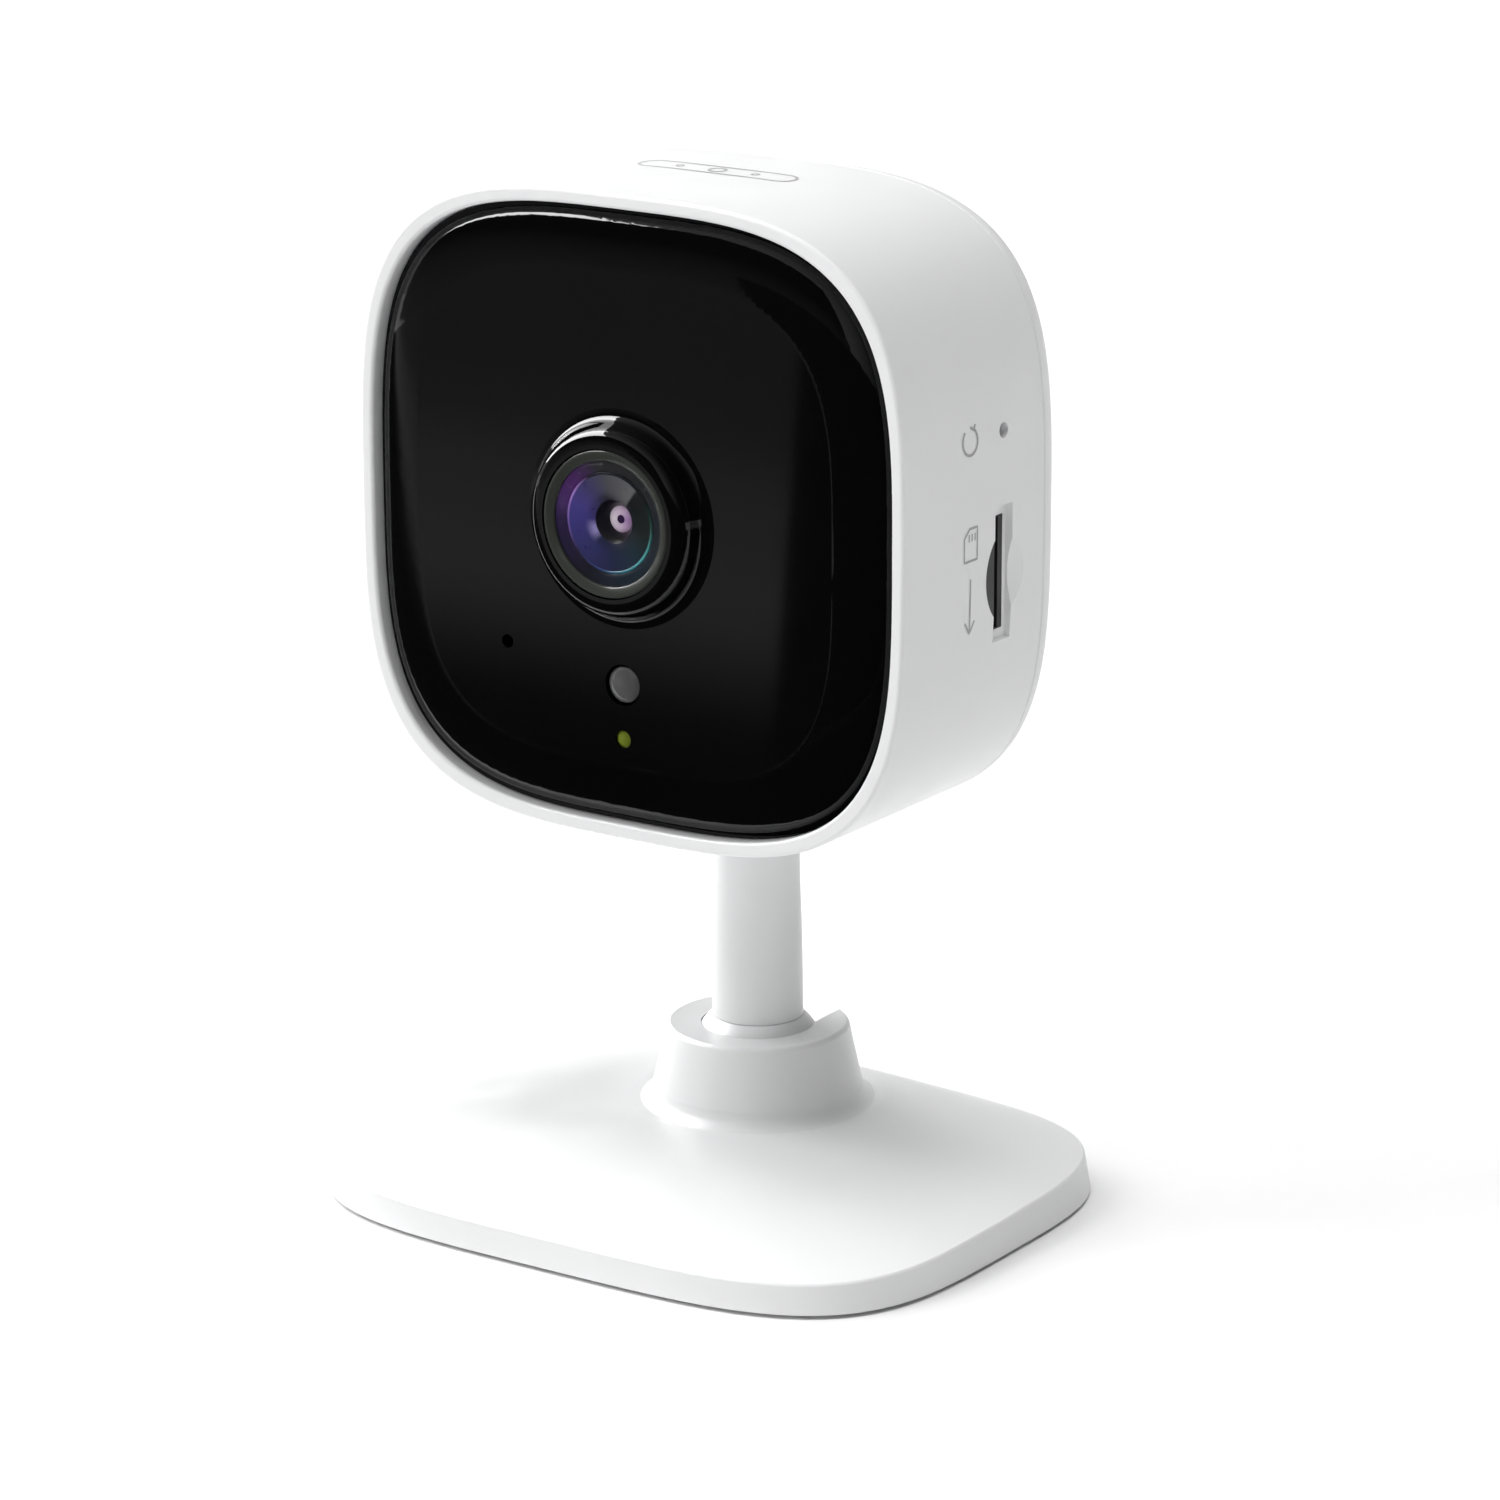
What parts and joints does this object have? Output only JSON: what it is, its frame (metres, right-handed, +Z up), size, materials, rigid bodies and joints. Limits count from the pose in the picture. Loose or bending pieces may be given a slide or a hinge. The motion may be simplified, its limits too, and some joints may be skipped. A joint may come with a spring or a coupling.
{
  "type": "indoor security camera",
  "caption": "Indoor security camera: rounded-square white head with a dark glossy front and lens hump, on a short stem that tilts and turns in a crowned rectangular base.",
  "frame": {"origin": "centre of the base's footprint, on the surface that it stands on", "axes": "+X to the right seen from the front, +Y to the rear (the lens looks along -Y), +Z up"},
  "size_m": [0.0676, 0.0548, 0.099],
  "materials": {
    "white_plastic": "smooth satin-gloss moulded white",
    "black_panel": "polished near-black infrared window",
    "lens_trim": "polished dark ring",
    "black_plastic": "fine matte black",
    "foot_rubber": "matte dark grey pad",
    "seal_rubber": "matte grey foam and rubber",
    "lens_glass": "coated lens glass",
    "filter_glass": "tinted filter glass",
    "light_guide": "milky translucent plastic",
    "ball_nylon": "waxy off-white nylon",
    "steel": "plated sheet and screws",
    "aluminium": "rolled plate",
    "circuit_board": "green solder mask",
    "chip_black": "moulded epoxy",
    "led_cream": "ceramic LED bodies",
    "copper_film": "copper on film"
  },
  "bodies": {
    "base": {"base_shell": "white_plastic", "base_bottom_cover": "black_plastic", "foot_pad": "foot_rubber", "base_screws": "steel", "ballast_plate": "steel", "socket_cup": "ball_nylon", "socket_spring": "steel", "socket_retainer": "steel", "socket_screws": "steel"},
    "ball": {"pivot_ball": "white_plastic", "swivel_washer": "steel"},
    "head": {"stem": "white_plastic", "swivel_screw": "steel", "stem_clamp": "black_plastic", "stem_clamp_screws": "steel", "head_shell": "white_plastic", "rear_cover": "white_plastic", "cover_screws": "steel", "front_panel": "black_panel", "panel_gasket": "seal_rubber", "lens_ring": "lens_trim", "lens_front_element": "lens_glass", "lens_barrel": "black_plastic", "lens_inner_element": "lens_glass", "lens_holder": "black_plastic", "ir_cut_housing": "black_plastic", "ir_cut_actuator": "steel", "image_sensor": "chip_black", "main_board": "circuit_board", "board_parts": "chip_black", "board_screws": "steel", "shield_can": "steel", "thermal_pad": "seal_rubber", "heat_spreader": "aluminium", "ir_led_board": "circuit_board", "ir_leds": "led_cream", "led_ribbon": "copper_film", "light_sensor_guide": "light_guide", "status_led_guide": "light_guide", "mic_boot": "seal_rubber", "microphone": "steel", "mic_board": "black_plastic", "antenna": "copper_film", "card_socket": "steel", "card_bezel": "black_plastic", "reset_switch": "black_plastic", "usb_socket": "steel", "speaker": "black_plastic", "speaker_gasket": "seal_rubber"},
    "reset_button": {"reset_plunger": "black_plastic"},
    "ir_shuttle": {"ir_cut_shuttle": "black_plastic", "ir_cut_filter": "filter_glass"}
  },
  "joints": [
    {"name": "ball_tilt", "type": "hinge", "parent": "base", "child": "ball", "pos_m": [0, 0.0083, 0.0104], "axis": [-1, 0, 0], "range_deg": [-10, 90]},
    {"name": "stem_turn", "type": "hinge", "parent": "ball", "child": "head", "pos_m": [0, 0.0083, 0.0104], "axis": [0, 0, 1], "continuous": true},
    {"name": "reset_press", "type": "slide", "parent": "head", "child": "reset_button", "axis": [-1, 0, 0], "range_m": [0, 0.0003], "stiffness_N_per_m": 800, "springref_m": -0.0003},
    {"name": "ir_cut_slide", "type": "slide", "parent": "head", "child": "ir_shuttle", "axis": [1, 0, 0], "range_m": [0, 0.0062]}
  ]
}
